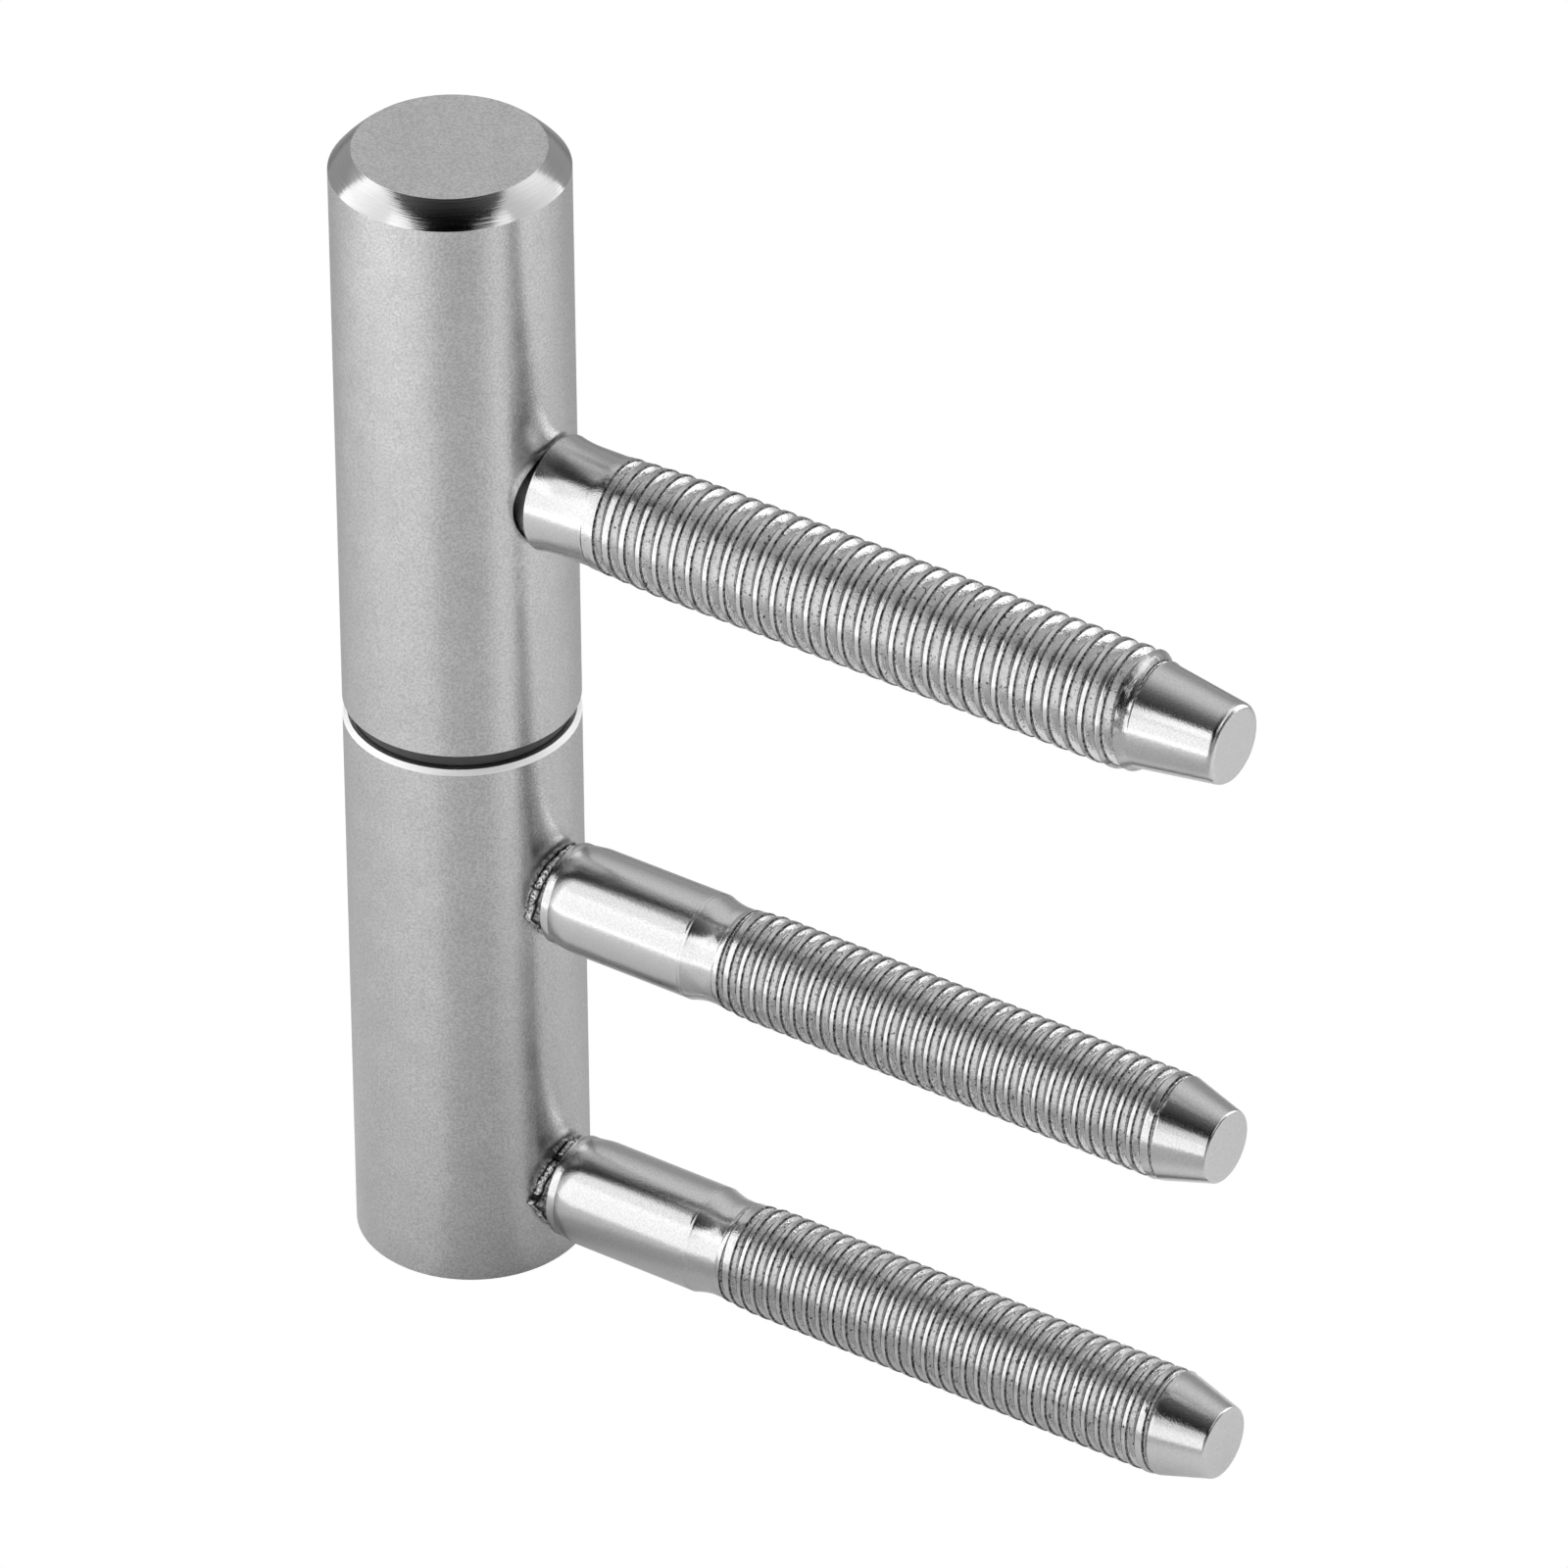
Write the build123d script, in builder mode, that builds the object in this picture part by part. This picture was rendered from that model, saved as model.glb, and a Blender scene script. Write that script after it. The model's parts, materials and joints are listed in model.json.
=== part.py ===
from build123d import *
from math import radians, sqrt, tan
import os

# Drill-in hinge for a door, in millimetres.
# The hinge axis is Z. The origin is on it, at the top face of the frame barrel. The arms point along +X.

# Barrels
barrel_diameter = 15.0
leaf_barrel_length = 40.0
frame_barrel_length = 39.0

# The leaf barrel's closed top has a wide chamfer, turned very slightly convex.
top_chamfer = 1.45
top_chamfer_bulge = 0.06
# The frame barrel's top rim has a narrow chamfer. The other rims are only broken.
frame_rim_chamfer = 0.3
edge_break = 0.12

# Thrust ring between the barrels, with its play above and below
ring_thickness = 1.0
ring_inset = 0.6
ring_play = 0.02

# Hinge pin, pressed into the frame barrel
pin_radius = 4.0
pin_depth = 24.0
pin_height = 24.0
pin_tip_chamfer = 0.8
pin_foot_chamfer = 0.4

# Bearing bush, pressed into the leaf barrel's blind bore, and the room left above the pin and the bush
bush_wall = 1.0
bush_recess = 0.3
bush_chamfer = 0.3
pin_end_room = 5.0
bush_end_room = 2.7
drill_point_angle = 118

# Fits, as radial clearances
running_clearance = 0.04
press_clearance = 0.01
spigot_clearance = 0.05

# Each arm's spigot stands on the flat bottom of a round seat in its barrel. The seat is this deep
# where that leaves at least the seat wall in front of the leaf barrel's bore.
seat_depth = 1.5
seat_wall = 0.6
tip_rounding = 0.2

# Leaf arm, with its height above the leaf barrel's lower rim and its stretches counted from the barrel
leaf_arm_rise = 17.6
leaf_arm_reach = 50.0
leaf_spigot_radius = 3.35
leaf_joint_line = 0.2
leaf_flare_length = 1.8
leaf_flare_radius = 3.78
leaf_shank_length = 1.9
leaf_shank_radius = 3.585
leaf_run_in = 4.2
leaf_thread_radius = 3.87
leaf_run_out = 1.0
leaf_cone_length = 5.6
leaf_cone_radius = 3.36
leaf_tip_radius = 2.58

# Frame arms, with the lower one's height above the frame barrel's lower rim
lower_arm_rise = 5.35
frame_arm_spacing = 22.5
frame_arm_reach = 49.7
frame_spigot_radius = 2.6
weld_radius = 3.1
weld_length = 0.55
weld_gap = 0.02
root_land_radius = 3.33
root_land_length = 0.7
root_cone_length = 1.0
frame_shank_length = 8.65
frame_shank_radius = 3.475
neck_length = 1.8
neck_land_length = 0.7
neck_radius = 3.175
frame_run_in = 2.1
frame_thread_radius = 3.43
frame_run_out = 0.5
frame_cone_length = 3.3
frame_cone_radius = 3.29
frame_tip_radius = 2.36

# Heights and radii that follow from these
barrel_radius = barrel_diameter / 2
leaf_bottom = ring_thickness + 2 * ring_play
leaf_top = leaf_bottom + leaf_barrel_length
leaf_bore_end = pin_height + pin_end_room
leaf_arm_height = leaf_bottom + leaf_arm_rise
lower_arm_height = lower_arm_rise - frame_barrel_length
middle_arm_height = lower_arm_height + frame_arm_spacing
bush_inner_radius = pin_radius + running_clearance
bush_outer_radius = bush_inner_radius + bush_wall
leaf_bore_radius = bush_outer_radius + press_clearance
pin_bore_radius = pin_radius + press_clearance
seat_distance = max(barrel_radius - seat_depth, leaf_bore_radius + seat_wall)

os.makedirs("parts", exist_ok=True)


def drill_point(radius):
    """Height of the cone that a drill leaves at the bottom of a blind hole."""
    return radius / tan(radians(drill_point_angle / 2))


def cross_plane(distance, height):
    """Plane across the arm at this height and distance from the hinge axis, facing the arm's tip."""
    return Plane(origin=(distance, 0, height), x_dir=(0, 1, 0), z_dir=(1, 0, 0))


def arm_plane(height):
    """Plane of an arm's half section: local X along the arm, local Y its radius."""
    return Plane(origin=(0, 0, height), x_dir=(1, 0, 0), z_dir=(0, -1, 0))


def arm_axis(height):
    return Axis((0, 0, height), (1, 0, 0))


# Upper barrel: the leaf knuckle, turned from bar, closed at the top and bored from below for the bush
chamfer_foot = (barrel_radius, leaf_top - top_chamfer)
chamfer_head = (barrel_radius - top_chamfer, leaf_top)
bulge = top_chamfer_bulge / sqrt(2)
chamfer_middle = (
    (chamfer_foot[0] + chamfer_head[0]) / 2 + bulge,
    (chamfer_foot[1] + chamfer_head[1]) / 2 + bulge,
)
with BuildPart() as upper_barrel:
    with BuildSketch(Plane.XZ):
        with BuildLine():
            Polyline(
                chamfer_head,
                (0, leaf_top),
                (0, leaf_bore_end + drill_point(leaf_bore_radius)),
                (leaf_bore_radius, leaf_bore_end),
                (leaf_bore_radius, leaf_bottom),
                (barrel_radius - edge_break, leaf_bottom),
                (barrel_radius, leaf_bottom + edge_break),
                chamfer_foot,
            )
            ThreePointArc(chamfer_foot, chamfer_middle, chamfer_head)
        make_face()
    revolve(axis=Axis.Z)
    with BuildSketch(cross_plane(seat_distance, leaf_arm_height)):
        Circle(leaf_spigot_radius + spigot_clearance)
    extrude(amount=barrel_radius, mode=Mode.SUBTRACT)
upper_barrel.part.label = "upper_barrel"
export_step(upper_barrel.part, "parts/upper_barrel.step")

# Bearing bush: a plain sleeve with a lead-in at each end
bush_bottom = leaf_bottom + bush_recess
with BuildPart() as bearing_bush:
    with BuildSketch(Plane.XY.offset(bush_bottom)):
        Circle(bush_outer_radius)
        Circle(bush_inner_radius, mode=Mode.SUBTRACT)
    extrude(amount=leaf_bore_end - bush_end_room - bush_bottom)
    chamfer(bearing_bush.edges().filter_by(GeomType.CIRCLE), bush_chamfer)
bearing_bush.part.label = "bearing_bush"
export_step(bearing_bush.part, "parts/bearing_bush.step")

# Thrust ring: the dark washer that carries the leaf's weight, its rim inside the barrels' own
with BuildPart() as thrust_ring:
    with BuildSketch(Plane.XY.offset(ring_play)):
        Circle(barrel_radius - ring_inset)
        Circle(bush_inner_radius, mode=Mode.SUBTRACT)
    extrude(amount=ring_thickness)
    chamfer(thrust_ring.edges().filter_by(GeomType.CIRCLE), edge_break)
thrust_ring.part.label = "thrust_ring"
export_step(thrust_ring.part, "parts/thrust_ring.step")

# Hinge pin: ground steel, chamfered to lead into the bush
with BuildPart() as hinge_pin:
    with BuildSketch(Plane.XY.offset(-pin_depth)):
        Circle(pin_radius)
    extrude(amount=pin_depth + pin_height)
    pin_rims = hinge_pin.edges().filter_by(GeomType.CIRCLE).sort_by(Axis.Z)
    chamfer(pin_rims[-1], pin_tip_chamfer)
    chamfer(pin_rims[0], pin_foot_chamfer)
hinge_pin.part.label = "hinge_pin"
export_step(hinge_pin.part, "parts/hinge_pin.step")

# Lower barrel: the frame knuckle, with a blind bore for the pin and a seat for each frame arm
with BuildPart() as lower_barrel:
    with BuildSketch(Plane.XZ):
        with BuildLine():
            Polyline(
                (pin_bore_radius, 0),
                (barrel_radius - frame_rim_chamfer, 0),
                (barrel_radius, -frame_rim_chamfer),
                (barrel_radius, -frame_barrel_length + edge_break),
                (barrel_radius - edge_break, -frame_barrel_length),
                (0, -frame_barrel_length),
                (0, -pin_depth - drill_point(pin_bore_radius)),
                (pin_bore_radius, -pin_depth),
                close=True,
            )
        make_face()
    revolve(axis=Axis.Z)
    for height in (middle_arm_height, lower_arm_height):
        with BuildSketch(cross_plane(seat_distance, height)):
            Circle(frame_spigot_radius + spigot_clearance)
        extrude(amount=barrel_radius, mode=Mode.SUBTRACT)
lower_barrel.part.label = "lower_barrel"
export_step(lower_barrel.part, "parts/lower_barrel.step")

# Upper arm: spigot, concave flare behind the dark joint line, short shank, rolled thread and a long cone.
# Its threaded stretch is as thick as the crests of the turns, which rise from the shank over the run-in.
leaf_flare_start = barrel_radius + leaf_joint_line
leaf_flare_end = leaf_flare_start + leaf_flare_length
leaf_thread_start = leaf_flare_end + leaf_shank_length
leaf_tip = barrel_radius + leaf_arm_reach
leaf_cone_start = leaf_tip - leaf_cone_length
with BuildPart() as upper_arm:
    with BuildSketch(arm_plane(leaf_arm_height)):
        with BuildLine():
            TangentArc(
                (leaf_flare_end, leaf_shank_radius),
                (leaf_flare_start, leaf_flare_radius),
                tangent=(-1, 0),
            )
            Polyline(
                (leaf_flare_start, leaf_flare_radius),
                (leaf_flare_start, leaf_spigot_radius),
                (seat_distance, leaf_spigot_radius),
                (seat_distance, 0),
                (leaf_tip, 0),
                (leaf_tip, leaf_tip_radius),
                (leaf_cone_start, leaf_cone_radius),
                (leaf_cone_start - leaf_run_out, leaf_thread_radius),
                (leaf_thread_start + leaf_run_in, leaf_thread_radius),
                (leaf_thread_start, leaf_shank_radius),
                (leaf_flare_end, leaf_shank_radius),
            )
        make_face()
    revolve(axis=arm_axis(leaf_arm_height))
    fillet(upper_arm.edges().filter_by(GeomType.CIRCLE).sort_by(Axis.X)[-1], tip_rounding)
upper_arm.part.label = "upper_arm"
export_step(upper_arm.part, "parts/upper_arm.step")


def frame_arm(height, label):
    """One arm of the frame part: weld collar cut to the barrel, shank, neck, thread and short cone."""
    shank_start = barrel_radius + weld_length
    root_land_end = shank_start + root_land_length
    root_cone_end = root_land_end + root_cone_length
    neck_start = root_cone_end + frame_shank_length
    neck_end = neck_start + neck_length
    thread_start = neck_end + neck_land_length
    tip = barrel_radius + frame_arm_reach
    cone_start = tip - frame_cone_length
    with BuildPart() as arm:
        with BuildSketch(cross_plane(0, height)):
            Circle(weld_radius)
        extrude(amount=shank_start)
        with Locations((0, 0, height)):
            Cylinder(barrel_radius + weld_gap, barrel_diameter, mode=Mode.SUBTRACT)
        with BuildSketch(arm_plane(height)):
            with BuildLine():
                Spline(
                    (neck_start, frame_shank_radius),
                    (neck_end, neck_radius),
                    tangents=[(1, 0), (1, 0)],
                )
                Polyline(
                    (neck_end, neck_radius),
                    (thread_start, neck_radius),
                    (thread_start + frame_run_in, frame_thread_radius),
                    (cone_start - frame_run_out, frame_thread_radius),
                    (cone_start, frame_cone_radius),
                    (tip, frame_tip_radius),
                    (tip, 0),
                    (seat_distance, 0),
                    (seat_distance, frame_spigot_radius),
                    (shank_start, frame_spigot_radius),
                    (shank_start, root_land_radius),
                    (root_land_end, root_land_radius),
                    (root_cone_end, frame_shank_radius),
                    (neck_start, frame_shank_radius),
                )
            make_face()
        revolve(axis=arm_axis(height))
        fillet(arm.edges().filter_by(GeomType.CIRCLE).sort_by(Axis.X)[-1], tip_rounding)
    arm.part.label = label
    export_step(arm.part, f"parts/{label}.step")


frame_arm(middle_arm_height, "middle_arm")
frame_arm(lower_arm_height, "lower_arm")
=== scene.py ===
import json
import random
from math import cos, pi, radians, sin, sqrt, tan

import bmesh
import bpy
from mathutils import Matrix, Vector, noise

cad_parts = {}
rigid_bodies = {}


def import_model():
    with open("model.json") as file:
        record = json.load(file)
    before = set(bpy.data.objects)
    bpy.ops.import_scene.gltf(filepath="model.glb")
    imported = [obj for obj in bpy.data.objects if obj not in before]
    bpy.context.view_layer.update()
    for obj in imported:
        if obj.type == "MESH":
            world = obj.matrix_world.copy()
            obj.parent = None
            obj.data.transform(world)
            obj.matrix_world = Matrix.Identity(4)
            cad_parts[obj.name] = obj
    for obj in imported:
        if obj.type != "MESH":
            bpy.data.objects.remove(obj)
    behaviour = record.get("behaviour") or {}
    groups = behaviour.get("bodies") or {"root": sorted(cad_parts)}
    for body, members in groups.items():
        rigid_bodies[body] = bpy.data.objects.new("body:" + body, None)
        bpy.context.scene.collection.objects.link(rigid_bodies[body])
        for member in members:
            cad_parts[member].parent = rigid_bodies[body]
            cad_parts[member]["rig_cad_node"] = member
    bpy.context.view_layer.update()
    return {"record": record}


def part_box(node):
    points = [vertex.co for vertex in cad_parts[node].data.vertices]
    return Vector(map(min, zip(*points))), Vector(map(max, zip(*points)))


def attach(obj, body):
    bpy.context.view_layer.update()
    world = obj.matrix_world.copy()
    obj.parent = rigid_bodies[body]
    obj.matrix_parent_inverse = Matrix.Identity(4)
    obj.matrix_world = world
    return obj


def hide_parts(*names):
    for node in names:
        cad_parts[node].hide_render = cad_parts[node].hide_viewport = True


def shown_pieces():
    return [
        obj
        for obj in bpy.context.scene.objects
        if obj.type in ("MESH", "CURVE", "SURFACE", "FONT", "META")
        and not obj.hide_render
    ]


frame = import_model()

# Looks of the drill-in hinge. Lengths along and across an arm are in millimetres, and become metres when a
# mesh is made. A station is a distance from the hinge axis along an arm.
MM = 0.001

# The hinge's own sizes, read from the frame
mounts = {mount["name"]: mount for mount in frame["record"]["mounts"]}
barrel_low, barrel_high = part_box("lower_barrel")
barrel_radius = barrel_high.x / MM
foot_height = barrel_low.z

# Chamfers of the CAD barrels: at the leaf barrel's top and at the frame barrel's rim
TOP_CHAMFER = 1.45
RIM_CHAMFER = 0.3

# Mesh density: columns round an arm, steps in a rounded corner, the most of a side that a rounding takes, and
# how far the ring that keeps a surface straight stands from such a corner. Vertices closer than WELD are
# joined.
COLUMNS = 144
CORNER_STEPS = 4
CORNER_SHARE = 0.45
SUPPORT = 0.07
WELD = 0.0001

# Thread form: flanks at 30 degrees to the cross plane, a flat crest with small rounded shoulders, a narrow
# root. Painted shade and dirt darken a band that reaches down the flanks from the crest by the reach given
# below, and the next row on the crest lies CREST_STEP further in.
FLANK_ANGLE = radians(30)
LEAF_CREST_FLAT = 0.37
FRAME_CREST_FLAT = 0.33
ROOT_FLAT = 0.10
SHOULDER = 0.03
SHADE_AND_DIRT_REACH = 0.07
CREST_STEP = 0.03

# Where the thread begins and ends: the least depth of a groove, turns drawn beyond each end before they are
# cut off, and how far inside an end a vertex has to be.
LEAST_DEPTH = 0.006
SPARE_TURNS = 3
END_MARGIN = 0.012

# How rough each part of a thread is, and how much painted shade and dirt darken it, from 0 to 1
EDGE_WEAR = 1.0
SHOULDER_WEAR = 0.9
SHADE_AND_DIRT_WEAR = 0.7
ROOT_WEAR_AND_SHADE = 0.45
FLANK_WEAR = 0.22
CREST_WEAR = 0.06

# Unevenness of the rolled thread: its height, the share of it that moves a vertex along the arm, and the
# helix that each row follows in the noise. A nick has a chance to begin at each column of a crest's edge, a
# length in columns, and a share of the height.
EDGE_ROUGHNESS = 0.03
ALONG_SHARE = 0.4
HELIX_RADIUS = 3.1
HELIX_PITCH = 0.9
HELIX_ROW_STEP = 0.31
NICK_CHANCE = 0.03
NICK_LENGTHS = (1, 3)
NICK_SHARES = (-1.6, 0.2)


# Small mesh helpers

def finish_mesh(name, bm, material, body):
    """Turn a bmesh that was drawn in metres into a smooth-shaded piece that rides on a body."""
    bmesh.ops.recalc_face_normals(bm, faces=bm.faces)
    for face in bm.faces:
        face.smooth = True
    mesh = bpy.data.meshes.new(name)
    bm.to_mesh(mesh)
    bm.free()
    mesh.materials.append(material)
    piece = bpy.data.objects.new(name, mesh)
    bpy.context.scene.collection.objects.link(piece)
    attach(piece, body)
    return piece


def ease(t):
    """Smooth step from 0 to 1."""
    t = min(max(t, 0.0), 1.0)
    return t * t * (3 - 2 * t)


def rounded(corners):
    """Outline through the corners, given as (station, radius, rounding), with each corner rounded."""
    points = []
    for index, (station, radius, size) in enumerate(corners):
        here = Vector((station, radius))
        if size == 0 or index in (0, len(corners) - 1):
            points.append(here)
            continue
        before = Vector(corners[index - 1][:2]) - here
        after = Vector(corners[index + 1][:2]) - here
        reach_before = min(size, before.length * CORNER_SHARE)
        reach_after = min(size, after.length * CORNER_SHARE)
        start = here + before.normalized() * reach_before
        end = here + after.normalized() * reach_after
        if before.length > 4 * (reach_before + SUPPORT):
            points.append(start + before.normalized() * SUPPORT)
        for step in range(CORNER_STEPS + 1):
            t = step / CORNER_STEPS
            points.append((1 - t) ** 2 * start + 2 * t * (1 - t) * here + t * t * end)
        if after.length > 4 * (reach_after + SUPPORT):
            points.append(end + after.normalized() * SUPPORT)
    return [(point.x, point.y) for point in points]


class ArmMesh:
    """Mesh of a turned arm along X, drawn ring by ring, all rings with the same columns."""

    def __init__(self, height, limit):
        """An arm at this height, whose thread stays within the radius limit."""
        self.bm = bmesh.new()
        self.height = height
        self.limit = limit
        self.wear = self.bm.verts.layers.float.new("wear")

    def vertex(self, station, radius, column, wear=0.0):
        turn = 2 * pi * column / COLUMNS
        across = radius * cos(turn)
        up = radius * sin(turn)
        vert = self.bm.verts.new((station * MM, across * MM, (self.height + up) * MM))
        vert[self.wear] = wear
        return vert

    def ring(self, station, radius, wear=0.0):
        """One vertex for each column, all the same one where the radius is 0."""
        if radius == 0:
            return [self.vertex(station, 0, 0)] * COLUMNS
        return [self.vertex(station, radius, column, wear) for column in range(COLUMNS)]

    def face(self, *verts):
        """Face through the vertices, unless fewer than three differ."""
        kept = []
        for vert in verts:
            if vert not in kept:
                kept.append(vert)
        if len(kept) > 2:
            self.bm.faces.new(kept)

    def turned(self, outline, wear=0.0):
        """Rings along an outline of (station, radius)."""
        rings = [self.ring(station, radius, wear) for station, radius in outline]
        for first, second in zip(rings, rings[1:]):
            for column in range(COLUMNS):
                after = (column + 1) % COLUMNS
                self.face(first[column], first[after], second[after], second[column])

    def close(self):
        """Join the vertices that lie in one place, where the thread meets its neighbours and its own ends."""
        bmesh.ops.remove_doubles(self.bm, verts=self.bm.verts, dist=WELD * MM)
        bmesh.ops.dissolve_degenerate(self.bm, edges=self.bm.edges, dist=WELD * MM)


def thread(arm, pitch, mark, start, end, crest, depth, draw):
    """Helical thread from one station to another, as a strip of rows wound round the arm.

    A crest passes the arm's top at the station mark. crest and depth are functions of the station.
    The rows follow the groove, so the edges of the crest are clean lines. The two ends are cut flat. A groove
    passes half a pitch after the crest, and the first column a quarter turn before the top.
    """
    groove_mark = mark + pitch / 2 - pitch / 4
    first = int((start - groove_mark) / pitch) - SPARE_TURNS
    turns = int((end - start) / pitch) + 2 * SPARE_TURNS + 1
    strip = []
    for step in range(turns * COLUMNS + 1):
        centre = groove_mark + pitch * (first + step / COLUMNS)
        strip.append(groove_rows(centre, pitch, crest, depth))
    low = start + END_MARGIN
    high = end - END_MARGIN
    lattice = []
    for step, rows in enumerate(strip):
        column = step % COLUMNS
        line = []
        for index, (station, radius, wear) in enumerate(rows):
            if station <= low:
                line.append((start, crest(start), 0.0))
            elif station >= high:
                line.append((end, crest(end), 0.0))
            else:
                rough = draw(index, step, wear)
                line.append((station + ALONG_SHARE * rough, min(radius + rough, arm.limit), wear))
        lattice.append([arm.vertex(*place[:2], column, place[2]) for place in line])
    for step in range(len(lattice) - 1 - COLUMNS):
        here = lattice[step] + [lattice[step + COLUMNS][0]]
        ahead = lattice[step + 1] + [lattice[step + 1 + COLUMNS][0]]
        for row in range(len(here) - 1):
            arm.face(here[row], ahead[row], ahead[row + 1], here[row + 1])


def groove_rows(centre, pitch, crest, depth):
    """Rows from the middle of a groove to just before the next one's, as (station, radius, wear and painted
    shade).

    The wall goes from the groove's middle up to the crest. Its offsets count from the middle.
    """
    slope = tan(FLANK_ANGLE)
    after = centre + pitch
    rows = []
    for side, middle in ((1, centre), (-1, after)):
        top = crest(middle)
        deep = max(depth(middle), LEAST_DEPTH)
        root = min(ROOT_FLAT, deep) / 2
        lip = min(SHOULDER, deep / 3)
        half = root + deep * slope
        shade_and_dirt = min(SHADE_AND_DIRT_REACH, deep / 3)
        wall = [
            (0.0, top - deep, ROOT_WEAR_AND_SHADE),
            (root, top - deep + 0.25 * root, ROOT_WEAR_AND_SHADE),
            (root + 0.12 * deep * slope, top - 0.86 * deep, FLANK_WEAR),
            (half - 1.8 * shade_and_dirt * slope, top - 1.8 * shade_and_dirt, FLANK_WEAR),
            (half - shade_and_dirt * slope, top - shade_and_dirt, SHADE_AND_DIRT_WEAR),
            (half - lip * slope, top - lip, EDGE_WEAR),
            (half + 0.1 * lip, top - 0.25 * lip, EDGE_WEAR),
            (half + 0.6 * lip, top, SHOULDER_WEAR),
            (half + 0.6 * lip + CREST_STEP, top, CREST_WEAR),
        ]
        if side == 1:
            rows += [(middle + offset, radius, wear) for offset, radius, wear in wall]
            left = rows[-1]
        else:
            right = (middle - wall[-1][0], wall[-1][1])
            between = (left[0] + right[0]) / 2
            rows.append((between, crest(between), CREST_WEAR))
            rows += [(middle - offset, radius, wear) for offset, radius, wear in reversed(wall[1:])]
    return rows


def rough_edges(seed):
    """Seeded unevenness of a rolled thread: fine on the flanks, coarse with nicks along the crest's edges.

    Each row winds round a helix in the noise, so that it differs from its neighbours.
    """
    draws = random.Random(seed)
    nicks = {}

    def draw(row, step, wear):
        turn = 2 * pi * step / COLUMNS
        along = HELIX_PITCH * step / COLUMNS + HELIX_ROW_STEP * row
        place = Vector((HELIX_RADIUS * cos(turn), HELIX_RADIUS * sin(turn), along))
        wave = noise.noise(place * 0.8 + Vector((seed, 0, 0)))
        grain = noise.noise(place * 5.0 + Vector((0, seed, 0)))
        if row not in nicks:
            nicks[row] = 0
        if nicks[row] == 0 and wear > SHADE_AND_DIRT_WEAR and draws.random() < NICK_CHANCE:
            nicks[row] = draws.randint(*NICK_LENGTHS)
        nick = 0.0
        if nicks[row] > 0:
            nicks[row] -= 1
            nick = draws.uniform(*NICK_SHARES)
        return EDGE_ROUGHNESS * (0.25 * wave + (0.25 + 0.75 * wear) * grain * 0.8 + nick)

    return draw


def blend_between(low, high, value_low, value_high):
    """A function of the station that goes smoothly from one value to the other."""
    def value(station):
        return value_low + (value_high - value_low) * ease((station - low) / (high - low))
    return value


def ramp_between(low, high, value_low, value_high):
    """A function of the station that goes straight from one value to the other."""
    def value(station):
        t = min(max((station - low) / (high - low), 0.0), 1.0)
        return value_low + (value_high - value_low) * t
    return value


# The leaf part's arm: spigot in the barrel's wall, flare, shank, thread, cone. The mark is a station at which
# a crest passes the arm's top.

LEAF_SPIGOT = 3.35
LEAF_FLARE_START = barrel_radius + 0.2
LEAF_FLARE_RADIUS = 3.78
LEAF_FLARE_LENGTH = 1.8
LEAF_FLARE_RIM = 0.05
LEAF_FLARE_STEPS = 14
LEAF_SHANK = 3.585
LEAF_THREAD_START = 11.9
LEAF_THREAD_FULL = 17.0
LEAF_THREAD_FOOT = 3.64
LEAF_PITCH = 1.25
LEAF_MARK = 32.27
LEAF_SEED = 7
LEAF_FALL_LENGTH = 1.7
LEAF_CONE_LENGTH = 5.6
LEAF_CONE_RADIUS = 3.36
LEAF_TIP_RADIUS = 2.58
LEAF_TIP_ROUNDING = 0.38

# The frame part's two arms: spigot, land, lead-in cone, shank, neck, thread, cone

FRAME_SPIGOT = 2.6
FRAME_LAND_START = barrel_radius + 0.55
FRAME_LAND_RADIUS = 3.33
FRAME_LAND_LENGTH = 0.55
FRAME_LAND_ROUNDING = 0.06
FRAME_CONE_IN_LENGTH = 1.0
FRAME_SHANK = 3.475
FRAME_SHANK_ROUNDING = 0.3
FRAME_NECK_START = 18.65
FRAME_NECK_LENGTH = 1.65
FRAME_NECK = 3.175
FRAME_NECK_LINE = 20.9
NECK_STEPS = 12
FRAME_THREAD_START = 21.0
FRAME_THREAD_FULL = 23.3
FRAME_THREAD_FOOT = 3.22
FRAME_PITCH = 1.0
MIDDLE_MARK = 37.955
LOWER_MARK = 37.715
MIDDLE_SEED = 21
LOWER_SEED = 34
FRAME_FALL_LENGTH = 0.9
FRAME_CONE_LENGTH = 3.3
FRAME_CONE_RADIUS = 3.29
FRAME_TIP_RADIUS = 2.36
FRAME_TIP_ROUNDING = 0.16

# Every thread deepens over its first turns, and fades out round the start of the cone, whose first ring lies
# CONE_STEP along the arm and CONE_DROP below the start.

RUN_IN_TURNS = 0.8
FADE_BEFORE_CONE = 1.2
FADE_PAST_CONE = 0.1
CONE_STEP = 0.06
CONE_DROP = 0.02

# The weld beads. A corner stands out and a notch is cut in, each as (angle, half width in degrees, height).
# The ridge leaves room for a furrow, and a notch of the given depth is fully darkened with painted shade and
# dirt.

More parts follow.
